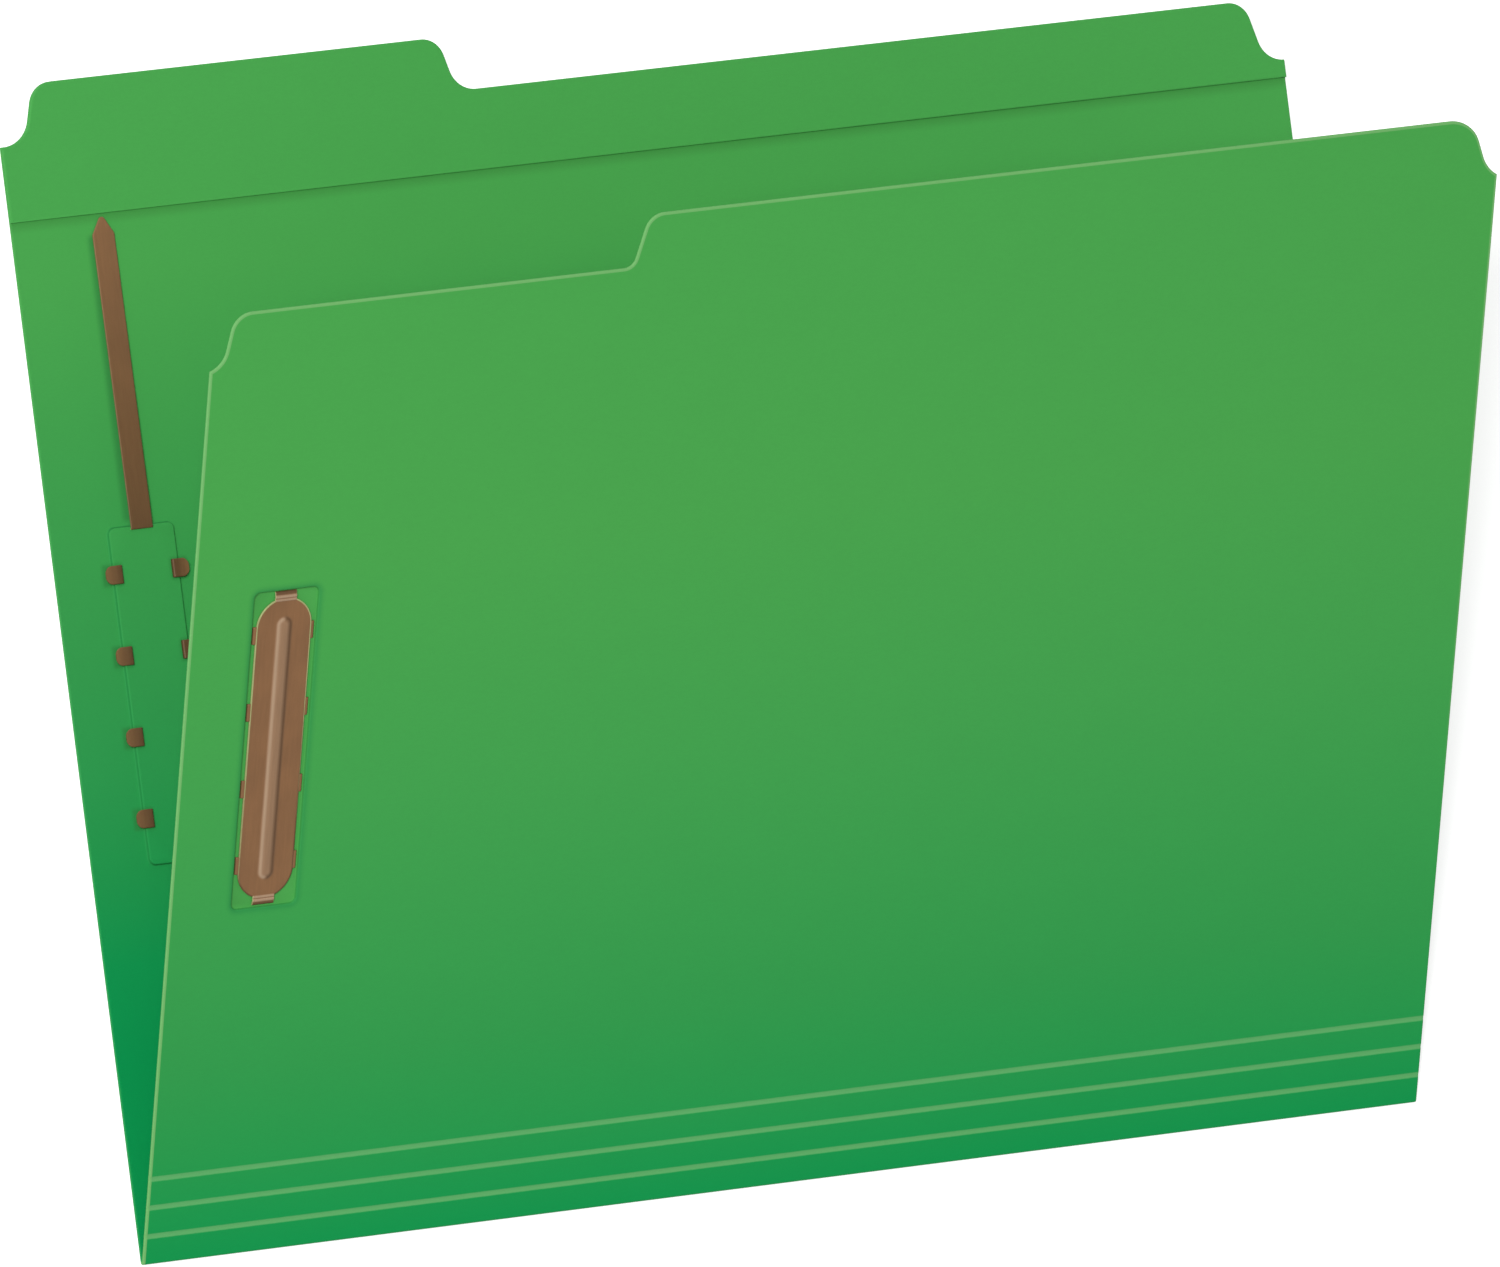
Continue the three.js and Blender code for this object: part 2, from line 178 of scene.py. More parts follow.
def times(tree, *values):
    """The product of all the values."""
    made = values[0]
    for value in values[1:]:
        made = sums(tree, "MULTIPLY", made, value)
    return made


def mixed(tree, factor, a, b, blend="MIX"):
    """Colour a turned into colour b by a factor."""
    inputs = {0: factor, 6: a, 7: b}
    return put(tree, "ShaderNodeMix", inputs, data_type="RGBA", blend_type=blend).outputs[2]


def spread(tree, value, low, high, to_low=0.0, to_high=1.0):
    """A value between low and high, spread softly over another range."""
    inputs = {0: value, 1: low, 2: high, 3: to_low, 4: to_high}
    return put(tree, "ShaderNodeMapRange", inputs, interpolation_type="SMOOTHSTEP").outputs[0]


def noise(tree, vector, scale, detail=2.0, roughness=0.5):
    inputs = {"Vector": vector, "Scale": scale, "Detail": detail, "Roughness": roughness}
    return put(tree, "ShaderNodeTexNoise", inputs).outputs["Fac"]


def mark(tree, name, output="Fac"):
    """A mark that the mesh keeps at its points."""
    return put(tree, "ShaderNodeAttribute", attribute_name=name).outputs[output]


def stretched(tree, vector, scale):
    return put(tree, "ShaderNodeMapping", {"Vector": vector, "Scale": scale}).outputs[0]


def shade(red, green, blue):
    """A screen colour from 0 to 255, as a shader's linear colour."""
    def linear(value):
        value /= 255
        return value / 12.92 if value <= 0.04045 else ((value + 0.055) / 1.055) ** 2.4
    return (linear(red), linear(green), linear(blue), 1.0)


def ramp(tree, value, stops):
    """Colour by a value, from (value, colour) stops."""
    node = put(tree, "ShaderNodeValToRGB", {0: value})
    elements = node.color_ramp.elements
    while len(elements) < len(stops):
        elements.new(0.5)
    for element, (place, colour) in zip(elements, stops):
        element.position, element.color = place, colour
    return node.outputs[0]


def group(name, inputs, outputs):
    """An empty node group with named sockets, and its input and output nodes."""
    tree = bpy.data.node_groups.new(name, "ShaderNodeTree")
    for label, kind, value in inputs:
        socket = tree.interface.new_socket(label, in_out="INPUT", socket_type="NodeSocket" + kind)
        if value is not None:
            socket.default_value = value
    for label, kind in outputs:
        tree.interface.new_socket(label, in_out="OUTPUT", socket_type="NodeSocket" + kind)
    return tree, tree.nodes.new("NodeGroupInput").outputs, tree.nodes.new("NodeGroupOutput").inputs


def fibre_grain_group():
    """Fine fibres that lie along the sheet, over a soft mottling."""
    tree, given, made = group(
        "fibre_grain",
        [("Vector", "Vector", None), ("Fibres", "Float", 0.5), ("Mottling", "Float", 0.5)],
        [("Tone", "Float"), ("Height", "Float")],
    )
    fibres = noise(tree, stretched(tree, given["Vector"], (900, 2600, 900)), 1.0, 3.0, 0.6)
    specks = noise(tree, stretched(tree, given["Vector"], (3800, 5200, 3800)), 1.0, 1.0)
    mottle = noise(tree, stretched(tree, given["Vector"], (70, 95, 70)), 1.0, 3.0, 0.55)
    fine = sums(tree, "ADD", times(tree, fibres, 0.65), times(tree, specks, 0.35))
    fine_tone = times(tree, sums(tree, "SUBTRACT", fine, 0.5), given["Fibres"])
    soft_tone = times(tree, sums(tree, "SUBTRACT", mottle, 0.5), given["Mottling"])
    tone = sums(tree, "ADD", sums(tree, "ADD", fine_tone, soft_tone), 1.0)
    tree.links.new(tone, made["Tone"])
    tree.links.new(fine, made["Height"])
    return tree


def soft_patch_group():
    """A soft-edged rectangle: 1 inside its half sizes, falling to 0 over the fade."""
    labels = ("Across", "Along", "Half Across", "Half Along", "Fade")
    tree, given, made = group(
        "soft_patch",
        [(label, "Float", 0.001) for label in labels],
        [("Mask", "Float")],
    )
    masks = []
    for way in ("Across", "Along"):
        past = sums(tree, "SUBTRACT", sums(tree, "ABSOLUTE", given[way]), given["Half " + way])
        masks.append(spread(tree, sums(tree, "DIVIDE", past, given["Fade"]), 0.0, 1.0, 1.0, 0.0))
    tree.links.new(times(tree, *masks), made["Mask"])
    return tree


def soft_patch(tree, patch, across, along, half_across, half_along, fade):
    """The soft-patch group placed in a material, with its sizes in millimetres."""
    inputs = {
        "Across": across,
        "Along": along,
        "Half Across": half_across / 1000,
        "Half Along": half_along / 1000,
        "Fade": fade / 1000,
    }
    return put(tree, "ShaderNodeGroup", inputs, node_tree=patch).outputs["Mask"]


def painted_shadows(tree, patch):
    """Painted shadows on the inner face, round the clinched tangs and along the upper prong's edge.
    """
    apart = put(tree, "ShaderNodeSeparateXYZ", {0: mark(tree, "from_fastener", "Vector")}).outputs
    column = sums(tree, "SUBTRACT", sums(tree, "ABSOLUTE", apart[0]), TANG_SHADOW_X / 1000)
    pitch = (TANG_PLACES[1] - TANG_PLACES[0]) / 1000
    row = sums(tree, "SUBTRACT", sums(tree, "PINGPONG", apart[1], pitch), pitch / 2)
    tangs = soft_patch(tree, patch, column, row, *TANG_SHADOW)
    tangs = times(tree, tangs, soft_patch(tree, patch, apart[0], apart[1], *TANG_ROWS))
    prong_across = sums(tree, "ADD", apart[0], PRONG_HALF_WIDTH / 1000)
    prong_along = sums(tree, "SUBTRACT", apart[1], PRONG_SHADOW_Y / 1000)
    prong = soft_patch(tree, patch, prong_across, prong_along, *PRONG_SHADOW)
    shadowed = sums(tree, "MAXIMUM", tangs, times(tree, prong, 0.9))
    return times(tree, shadowed, mark(tree, "inside"))


def pale_edge_group():
    """Pale colour of a worn edge with a painted highlight, laid over another and broken up so that
    its border is uneven.
    """
    tree, given, made = group(
        "worn_edge",
        [
            ("Colour", "Color", None),
            ("Worn Colour", "Color", None),
            ("Edge", "Float", 0.0),
            ("Vector", "Vector", None),
            ("Uneven", "Float", 0.2),
        ],
        [("Colour", "Color"), ("Mask", "Float")],
    )
    chips = noise(tree, stretched(tree, given["Vector"], (700, 700, 700)), 1.0, 3.0, 0.6)
    shift = times(tree, sums(tree, "SUBTRACT", chips, 0.5), given["Uneven"])
    edge = spread(tree, sums(tree, "ADD", given["Edge"], shift), 0.1, 0.9)
    tree.links.new(edge, made["Mask"])
    tree.links.new(mixed(tree, edge, given["Colour"], given["Worn Colour"]), made["Colour"])
    return tree


def place_pale_edge(tree, wear, colour, worn_colour, edge, vector, uneven):
    """The pale-edge group, for wear with a painted highlight, placed in a material."""
    inputs = {
        "Colour": colour,
        "Worn Colour": worn_colour,
        "Edge": edge,
        "Vector": vector,
        "Uneven": uneven,
    }
    return put(tree, "ShaderNodeGroup", inputs, node_tree=wear).outputs


def material(name):
    """An empty material and its nodes."""
    made = bpy.data.materials.new(name)
    made.use_nodes = True
    tree = made.node_tree
    tree.nodes.clear()
    return made, tree


# Colour of the board by its distance from the fold, as a share of the tab's height; on the inner
# face the deep green near the fold is painted shade inside the folder
OUTER_GREENS = (
    (0.0, shade(10, 145, 73)),
    (0.04, shade(23, 147, 73)),
    (0.09, shade(36, 149, 73)),
    (0.17, shade(47, 150, 73)),
    (0.25, shade(53, 153, 74)),
    (0.41, shade(63, 157, 75)),
    (0.62, shade(70, 160, 74)),
)
INNER_GREENS = (
    (0.0, shade(0, 143, 74)),
    (0.17, shade(0, 143, 75)),
    (0.25, shade(8, 145, 76)),
    (0.33, shade(30, 147, 75)),
    (0.41, shade(43, 150, 77)),
    (0.5, shade(51, 151, 76)),
    (0.7, shade(63, 155, 75)),
    (0.83, shade(70, 159, 75)),
)


def pressboard(grain, wear, patch):
    """Green pressboard: deeper towards the fold, with painted shade and painted shadows, and pale
    bands of wear and painted highlight where it is cut, scored or rubbed.
    """
    made, tree = material("green_pressboard")
    sheet = mark(tree, "sheet", "Vector")
    height = put(tree, "ShaderNodeSeparateXYZ", {0: sheet}).outputs[1]
    share = sums(tree, "DIVIDE", height, TAB_HEIGHT / 1000)
    outer, inner = ramp(tree, share, OUTER_GREENS), ramp(tree, share, INNER_GREENS)
    green = mixed(tree, mark(tree, "inside"), outer, inner)
    # Painted shadow on the panel just below the ply's lower edge
    begins, full, ending, ends = SEAM_SHADE
    growing = spread(tree, height, begins, full)
    falling = spread(tree, height, ending, ends, 1.0, 0.0)
    seam = times(tree, growing, falling, mark(tree, "seamed"), 0.5)
    green = mixed(tree, seam, green, shade(60, 133, 60))
    # Tint of the recess's floor and walls
    green = mixed(tree, mark(tree, "pressed"), green, shade(71, 157, 74))
    # Painted shade round the recess on the outer face and along the plateau's border inside
    green = mixed(tree, times(tree, mark(tree, "shoulder"), 0.55), green, shade(34, 128, 66))
    # Painted shadows round the tangs and beside the upper prong
    green = mixed(tree, times(tree, painted_shadows(tree, patch), 0.65), green, shade(46, 126, 60))
    inputs = {"Vector": sheet, "Fibres": 0.16, "Mottling": 0.035}
    fibres = put(tree, "ShaderNodeGroup", inputs, node_tree=grain).outputs
    # Pale line on each score: the crease's own paleness with a painted highlight
    pale_score = place_pale_edge(tree, wear, green, shade(92, 168, 100), mark(tree, "scored"), sheet, 0.25)
    # Pale band along the cut edges: wear with a painted highlight, strongest on the lit edges
    pale_edge_green = shade(110, 174, 102)
    rubbed = place_pale_edge(tree, wear, pale_score["Colour"], pale_edge_green, mark(tree, "rim"), sheet, 0.15)
    toned = mixed(tree, 1.0, rubbed["Colour"], fibres["Tone"], "MULTIPLY")
    rough = spread(tree, fibres["Height"], 0.3, 0.7, 0.66, 0.78)
    rough = sums(tree, "ADD", rough, times(tree, rubbed["Mask"], 0.12))
    bump = put(
        tree,
        "ShaderNodeBump",
        {"Strength": 0.25, "Distance": 0.00003, "Height": fibres["Height"]},
    )
    shader = put(
        tree,
        "ShaderNodeBsdfPrincipled",
        {
            "Base Color": toned,
            "Roughness": rough,
            "Normal": bump.outputs[0],
            "Specular IOR Level": 0.12,
        },
    )
    put(tree, "ShaderNodeOutputMaterial", {"Surface": shader.outputs[0]})
    return made


def coated_steel(wear):
    """Brown coated sheet steel, satin, with painted highlights and painted shade on its rib, folds
    and edges, and some wear on its edges.
    """
    made, tree = material("brown_coated_steel")
    sheet = mark(tree, "sheet", "Vector")
    drawn = noise(tree, stretched(tree, sheet, (2400, 160, 2400)), 1.0, 3.0, 0.6)
    cloud = noise(tree, stretched(tree, sheet, (120, 90, 120)), 1.0, 2.0)
    peel = noise(tree, stretched(tree, sheet, (1700, 1700, 1700)), 1.0, 2.0)
    brown = mixed(tree, spread(tree, cloud, 0.3, 0.7), shade(125, 90, 60), shade(132, 95, 63))
    # Painted shade on the rib's right flank, the tangs' hems, the neck's grooves, the prongs' roots
    # and the base rim's lower right end
    brown = mixed(tree, mark(tree, "shoulder"), brown, shade(98, 70, 46))
    # Painted highlight on the rib's left flank and the neck's ridges
    brown = mixed(tree, mark(tree, "pressed"), brown, shade(166, 138, 112))
    # Pale rim on the edges: wear with a painted highlight
    rubbed = place_pale_edge(tree, wear, brown, shade(160, 164, 112), mark(tree, "rim"), sheet, 0.3)
    streak = spread(tree, drawn, 0.25, 0.75, 0.95, 1.05)
    toned = mixed(tree, 1.0, rubbed["Colour"], streak, "MULTIPLY")
    rough = spread(tree, peel, 0.3, 0.7, 0.46, 0.56)
    rough = sums(tree, "SUBTRACT", rough, times(tree, rubbed["Mask"], 0.08))
    bump = put(tree, "ShaderNodeBump", {"Strength": 0.15, "Distance": 0.00002, "Height": peel})
    shader = put(
        tree,
        "ShaderNodeBsdfPrincipled",
        {
            "Base Color": toned,
            "Roughness": rough,
            "Metallic": 0.1,
            "Normal": bump.outputs[0],
            "Specular IOR Level": 0.22,
        },
    )
    put(tree, "ShaderNodeOutputMaterial", {"Surface": shader.outputs[0]})
    return made


def seen_rays(tree):
    """1 on rays that show the background: to the camera, off gloss and through glass."""
    path = put(tree, "ShaderNodeLightPath").outputs
    seen = sums(tree, "MAXIMUM", path["Is Camera Ray"], path["Is Glossy Ray"])
    return sums(tree, "MAXIMUM", seen, path["Is Transmission Ray"])


def studio_floor():
    """Pale floor that shows white and keeps the shadow."""
    made, tree = material("studio_floor")
    seen = seen_rays(tree)
    matt = put(tree, "ShaderNodeBsdfDiffuse", {"Color": FLOOR_GREY})
    inputs = {"Color": WHITE, "Strength": times(tree, seen, FLOOR_GLOW)}
    glow = put(tree, "ShaderNodeEmission", inputs)
    both = put(tree, "ShaderNodeAddShader", {0: matt.outputs[0], 1: glow.outputs[0]})
    put(tree, "ShaderNodeOutputMaterial", {"Surface": both.outputs[0]})
    floor = bpy.data.meshes.new("floor")
    side, level = 30.0, -0.0003
    corners = [(x * side, y * side, level) for x, y in ((-1, -1), (1, -1), (1, 1), (-1, 1))]
    floor.from_pydata(corners, [], [(0, 1, 2, 3)])
    floor.materials.append(made)
    sheet = bpy.data.objects.new("floor", floor)
    bpy.context.scene.collection.objects.link(sheet)


def studio_world():
    """Even light from all round, shown white."""
    made = bpy.data.worlds.new("studio")
    made.use_nodes = True
    tree = made.node_tree
    tree.nodes.clear()
    fill = put(tree, "ShaderNodeBackground", {"Color": WHITE, "Strength": FILL})
    white = put(tree, "ShaderNodeBackground", {"Color": WHITE, "Strength": 1.0})
    inputs = {0: seen_rays(tree), 1: fill.outputs[0], 2: white.outputs[0]}
    both = put(tree, "ShaderNodeMixShader", inputs)
    put(tree, "ShaderNodeOutputWorld", {"Surface": both.outputs[0]})
    bpy.context.scene.world = made


# Meshes

MARKS = ("rim", "inside", "seamed", "pressed", "shoulder", "scored")
NO_FASTENER = (-1000, -1000)  # far from every point, so that no dent shows


class Sheet:
    """Points and faces of one piece on a flat panel, with the marks that its material reads."""

    def __init__(self):
        self.points, self.marks, self.faces = [], [], []

    def point(self, x, y, z, **marks):
        self.points.append((x, y, z))
        self.marks.append(marks)
        return len(self.points) - 1

    def ribbon(self, one, other, closed=False):
        """Quads between two rows of points that run side by side."""
        count = len(one)
        for i in range(count if closed else count - 1):
            j = (i + 1) % count
            self.faces.append((one[i], one[j], other[j], other[i]))

    def skin(self, loops):
        """A closed skin through a row of loops, capped at both ends."""
        for one, other in zip(loops, loops[1:]):
            self.ribbon(one, other, True)
        self.faces += [tuple(loops[0]), tuple(loops[-1])]

    def build(self, name, spot, look, middle=NO_FASTENER):
        """The piece as an object, each point put in place by a function of its x, y and z; middle
        is the fastener's on this panel."""
        data = bpy.data.meshes.new(name)
        data.from_pydata([spot(*p) for p in self.points], [], self.faces)
        for label in MARKS:
            layer = data.attributes.new(label, "FLOAT", "POINT")
            layer.data.foreach_set("value", [m.get(label, 0.0) for m in self.marks])
        layer = data.attributes.new("sheet", "FLOAT_VECTOR", "POINT")
        layer.data.foreach_set("vector", [c / 1000 for p in self.points for c in p])
        layer = data.attributes.new("from_fastener", "FLOAT_VECTOR", "POINT")
        apart = [(x - middle[0], y - middle[1], z) for x, y, z in self.points]
        layer.data.foreach_set("vector", [c / 1000 for p in apart for c in p])
        shape = bmesh.new()
        shape.from_mesh(data)
        bmesh.ops.remove_doubles(shape, verts=shape.verts, dist=1e-7)
        bmesh.ops.recalc_face_normals(shape, faces=shape.faces)
        shape.to_mesh(data)
        shape.free()
        data.polygons.foreach_set("use_smooth", [True] * len(data.polygons))
        data.set_sharp_from_angle(angle=SMOOTH_BELOW)
        data.materials.append(look)
        piece = bpy.data.objects.new(name, data)
        bpy.context.scene.collection.objects.link(piece)
        return piece


def arc(centre, radius, start, end, steps=ARC_STEPS):
    """Points on an arc, with angles in degrees."""
    angles = [math.radians(start + (end - start) * i / steps) for i in range(steps + 1)]
    x, y = centre
    return [Vector((x + radius * math.cos(a), y + radius * math.sin(a))) for a in angles]


def step(shape, x, start, end):
    """Points of an S-shaped step, which is walked towards +x from (x, start) to the height end."""
    first, second, slope, enter, leave = shape
    up = math.copysign(1, end - start)
    turn, enter_turn, leave_turn = map(math.radians, (slope, enter, leave))
    rise = first * (math.cos(enter_turn) - math.cos(turn))
    rise += second * (math.cos(leave_turn) - math.cos(turn))
    run = first * (math.sin(turn) - math.sin(enter_turn))
    run += second * (math.sin(turn) - math.sin(leave_turn))
    run += max(abs(end - start) - rise, 0) / math.tan(turn)
    low = (x - first * math.sin(enter_turn), start + up * first * math.cos(enter_turn))
    high = (x + run + second * math.sin(leave_turn), end - up * second * math.cos(leave_turn))
    points = arc(low, first, up * (enter - 90), up * (slope - 90))
    return points + arc(high, second, up * (90 + slope), up * (90 + leave)), run


def back_edge(bottom):
    """The back panel's edge, from the bottom of its left end to the bottom of its right one."""
    edge = [Vector((0, bottom)), Vector((0, BACK_LEFT))]
    edge += step(TAB_LEFT_STEP, TAB_LEFT_LAND, BACK_LEFT, TAB_HEIGHT)[0]
    edge += step(TAB_RIGHT_STEP, TAB_WIDTH, TAB_HEIGHT, BACK_HEIGHT)[0]
    run = step(BACK_RIGHT_STEP, 0, BACK_HEIGHT, BACK_RIGHT)[1]
    edge += step(BACK_RIGHT_STEP, PANEL_WIDTH - run, BACK_HEIGHT, BACK_RIGHT)[0]
    return edge + [Vector((PANEL_WIDTH, bottom))]


def front_edge(bottom):
    """The front panel's edge, in the same order."""
    edge = [Vector((0, bottom))]
    edge += step(FRONT_LEFT_STEP, 0, FRONT_LEFT, FRONT_THIRD_HEIGHT)[0]
    edge += step(FRONT_MIDDLE_STEP, FRONT_THIRD_WIDTH, FRONT_THIRD_HEIGHT, FRONT_HEIGHT)[0]
    run = step(FRONT_RIGHT_STEP, 0, FRONT_HEIGHT, FRONT_RIGHT)[1]
    edge += step(FRONT_RIGHT_STEP, PANEL_WIDTH - run, FRONT_HEIGHT, FRONT_RIGHT)[0]
    return edge + [Vector((PANEL_WIDTH, bottom))]


def above(edge, height):
    """The part of an edge above a height, closed by a straight side."""
    closing = [Vector((PANEL_WIDTH, height)), Vector((0, height))]
    return [p for p in edge if p.y > height] + closing


def inset(edge, distance, closed=False):
    """The edge moved to its right, which is into the board, with mitred corners."""
    made, count = [], len(edge)
    for i, point in enumerate(edge):
        before = (point - edge[i - 1]).normalized() if closed or i else None
        after = (edge[(i + 1) % count] - point).normalized() if closed or i < count - 1 else before
        before = before or after
        side = Vector((before.y, -before.x))
        mitre = side + Vector((after.y, -after.x))
        made.append(point + mitre * (distance / mitre.dot(side)))
    return made


def gap_to(edge, point, closed):
    """Distance from a point to the nearest side of an edge."""
    best = 1e9
    for i in range(len(edge) if closed else len(edge) - 1):
        a, b = edge[i], edge[(i + 1) % len(edge)]
        along = b - a
        share = max(0.0, min(1.0, (point - a).dot(along) / max(along.length_squared, 1e-12)))
        best = min(best, (point - a - along * share).length)
    return best


def rounded_rectangle(half_width, half_length, radius, steps=6):
    """Closed outline about the origin; a radius of half the width makes a stadium."""
    x, y = half_width - radius, half_length - radius
    made = arc((x, y), radius, 0, 90, steps) + arc((-x, y), radius, 90, 180, steps)
    return made + arc((-x, -y), radius, 180, 270, steps) + arc((x, -y), radius, 270, 360, steps)


def distinct(loop):
    """A closed loop without its repeated points."""
    return [p for i, p in enumerate(loop) if (p - loop[i - 1]).length > 1e-6]


def slits():
    """Slits round a fastener, about its middle: (x0, x1, y0, y1)."""
    near, far = TANG_SLIT_NEAR, UPRIGHT_X - SLIT_TUCK
    half = TANG_HALF_WIDTH - SLIT_TUCK
    made = []
    for y in TANG_PLACES:
        made += [(near, far, y - half, y + half), (-far, -near, y - half, y + half)]
    near, far = UPRIGHT_Y - METAL + SLIT_TUCK, UPRIGHT_Y - SLIT_TUCK
    half = PRONG_HALF_WIDTH - SLIT_TUCK
    return made + [(-half, half, near, far), (-half, half, -far, -near)]


# Pressed profiles, outwards from the recess's side: (distance, height, recess tint, painted shade)
OUTER_PRESSING = (
    (-0.18, RECESS_FLOOR, 1, 0),
    (-0.10, 0.12, 1, 0),
    (-0.06, 0.02, 0.8, 0.2),
    (-0.03, -0.2, 0.5, 0.5),
    (0.02, -0.42, 0.2, 0.8),
    (0.10, -0.52, 0, 0.9),
    (0.30, -0.58, 0, 1),
    (0.60, -0.615, 0, 0.7),
    (1.00, -0.634, 0, 0.3),
    (1.60, -BOARD, 0, 0),
)
INNER_PRESSING = (
    (-0.20, PLATEAU, 0, 0),
    (-0.06, 0.77, 0, 0.3),
    (0.02, 0.68, 0, 0.8),
    (0.07, 0.50, 0, 1),
    (0.11, 0.20, 0, 1),
    (0.18, 0.07, 0, 0.9),
    (0.34, 0.01, 0, 0.3),
    (0.55, 0.0, 0, 0),
)


def rounding(face, sign):
    """Rows from the middle of a cut edge onto a face: (distance in, height)."""
    slant = EDGE_ROUND * (1 - math.sqrt(0.5))
    return (0.0, face + sign * EDGE_ROUND), (slant, face + sign * slant), (EDGE_ROUND, face)


def cut_edge_paleness(rubbed):
    """How pale a cut edge looks, with wear and a painted highlight, beside a face whose pale band
    has a share from 0 to 1.
    """
    return 0.15 + 0.85 * rubbed


def recess_loops(place, pressing):
    """Loops of a pressed profile round a fastener: (points, height, pressed, shoulder)."""
    for distance, z, pressed, shoulder in pressing:
        loop = rounded_rectangle(
            RECESS_HALF_WIDTH + distance,
            RECESS_HALF_LENGTH + distance,
            RECESS_CORNER + distance,
        )
        loop = [Vector((p.x + place[0], p.y + place[1])) for p in loop]
        yield distinct(loop), z, pressed, shoulder


def slit_corners(place):
    for x0, x1, y0, y1 in slits():
        corners = ((x0, y0), (x1, y0), (x1, y1), (x0, y1))
        yield [Vector((x + place[0], y + place[1])) for x, y in corners]


def in_slit(point, place):
    x, y = point.x - place[0], point.y - place[1]
    return any(x0 < x < x1 and y0 < y < y1 for x0, x1, y0, y1 in slits())


def board_face(sheet, edge, closed, face, sign, own, rub, place, pressing, edge_wear):
    """One face of a board with its rounded edge; returns the row in the middle of the cut edge,
    the end of each row where the board is joined to its neighbour, and the slits' corners."""
    rows = []
    for distance, z in rounding(face, sign):
        line = inset(edge, distance, closed)
        pale_here = rub if distance == EDGE_ROUND else lambda p: edge_wear * cut_edge_paleness(rub(p))
        rows.append([sheet.point(p.x, p.y, z, rim=pale_here(p), **own) for p in line])
    for one, other in zip(rows, rows[1:]):
        sheet.ribbon(one, other, closed)
    corners, lines, known = [], [], []  # of the face: points, the sides to keep, their indices

    def keep_line(points, indices, loop):
        start = len(corners)
        corners.extend(points)
        known.extend(indices)
        ends = range(len(points) if loop else len(points) - 1)
        lines.extend((start + i, start + (i + 1) % len(points)) for i in ends)

    keep_line([Vector(sheet.points[i][:2]) for i in rows[-1]], rows[-1], True)
    inner_rows = []
    for distance, full in ((PALE_BAND, 1.0), (PALE_BAND + PALE_BAND_FADE, 0.0)):
        line = [
            p for p in inset(edge, distance, closed)
            if gap_to(edge, p, closed) > distance - 0.02
        ]
        indices = [sheet.point(p.x, p.y, face, rim=full * rub(p), **own) for p in line]
        keep_line(line, indices, closed)
        inner_rows.append(indices)
    holes = []
    if place:
        for loop, z, pressed, shoulder in recess_loops(place, pressing):
            marks = {"pressed": pressed, "shoulder": shoulder, **own}
            keep_line(loop, [sheet.point(p.x, p.y, z, **marks) for p in loop], True)
        _, floor, pressed, _ = pressing[0]
        for loop in slit_corners(place):
            indices = [sheet.point(p.x, p.y, floor, pressed=pressed, **own) for p in loop]
            keep_line(loop, indices, True)
            holes.append(indices)
    points, _, triangles, sources, _, _ = delaunay_2d_cdt(corners, lines, [], 1, 1e-5)
    mapped = [
        known[source[0]] if source else sheet.point(p.x, p.y, face, **own)
        for p, source in zip(points, sources)
    ]
    for triangle in triangles:
        middle = sum((points[i] for i in triangle), Vector((0, 0))) / 3
        if not (place and in_slit(middle, place)):
            sheet.faces.append(tuple(mapped[i] for i in triangle))
    joint = [row[0] for row in rows] + [row[0] for row in inner_rows]
    joint += [row[-1] for row in reversed(inner_rows)] + [row[-1] for row in reversed(rows)]
    return rows[0], joint, holes


def board(name, look, spot, edge, heights, marks, rub, closed=False, place=None, wear=1.0):
    """A board with rounded cut edges, from one height to the other, each face with its marks.
    Unless its edge is closed, its last side is the joint with the neighbouring stretch and stays
    square."""
    sheet = Sheet()
    (outer, inner), (outer_marks, inner_marks) = heights, marks
    low = board_face(sheet, edge, closed, outer, 1, outer_marks, rub, place, OUTER_PRESSING, wear)
    high = board_face(sheet, edge, closed, inner, -1, inner_marks, rub, place, INNER_PRESSING, wear)
    sheet.ribbon(low[0], high[0], closed)
    if not closed:
        sheet.faces.append(tuple(low[1] + high[1][::-1]))
    for one, other in zip(low[2], high[2]):
        sheet.ribbon(one, other, True)
    return sheet.build(name, spot, look, place or NO_FASTENER)


def section():
    """Closed section of a stretch of board across its whole width, with a pale band of wear and
    painted highlight at its left side only: (x, z, rim, inside)."""
    def side(face, sign, rub):
        rows = [(d, z, cut_edge_paleness(rub) if d < EDGE_ROUND else rub) for d, z in rounding(face, sign)]
        return rows + [(PALE_BAND, face, rub), (PALE_BAND + PALE_BAND_FADE, face, 0.0)]

    made = []
    for face, sign, inside in ((-BOARD, 1, 0.0), (0.0, -1, 1.0)):
        row = [(d, z, rim, inside) for d, z, rim in side(face, sign, 1.0)]
        row += [(PANEL_WIDTH - d, z, rim, inside) for d, z, rim in reversed(side(face, sign, 0.0))]
        made += row if not inside else row[::-1]
    return made


def stretch(name, look, rows, spot):
    """A stretch of board swept through rows: each is (function from section to x, y, z; marks)."""
    sheet = Sheet()
    loops = []
    for shape, scored in rows:
        loop = []
        for x, z, rim, inside in section():
            loop.append(sheet.point(
                *shape(x, z), rim=rim, inside=inside, scored=scored * (1 - 0.7 * inside)
            ))
        loops.append(loop)
    sheet.skin(loops)
    return sheet.build(name, spot, look)


def flat_row(y, dip=0.0, scored=0.0):
    """A row of a stretch at a height; a score's dip goes in from the outer face and out inside."""
    def shape(x, z):
        depth = dip * (1.0 if z < -BOARD / 2 else 0.6)
        return x, y, z + depth
    return shape, scored


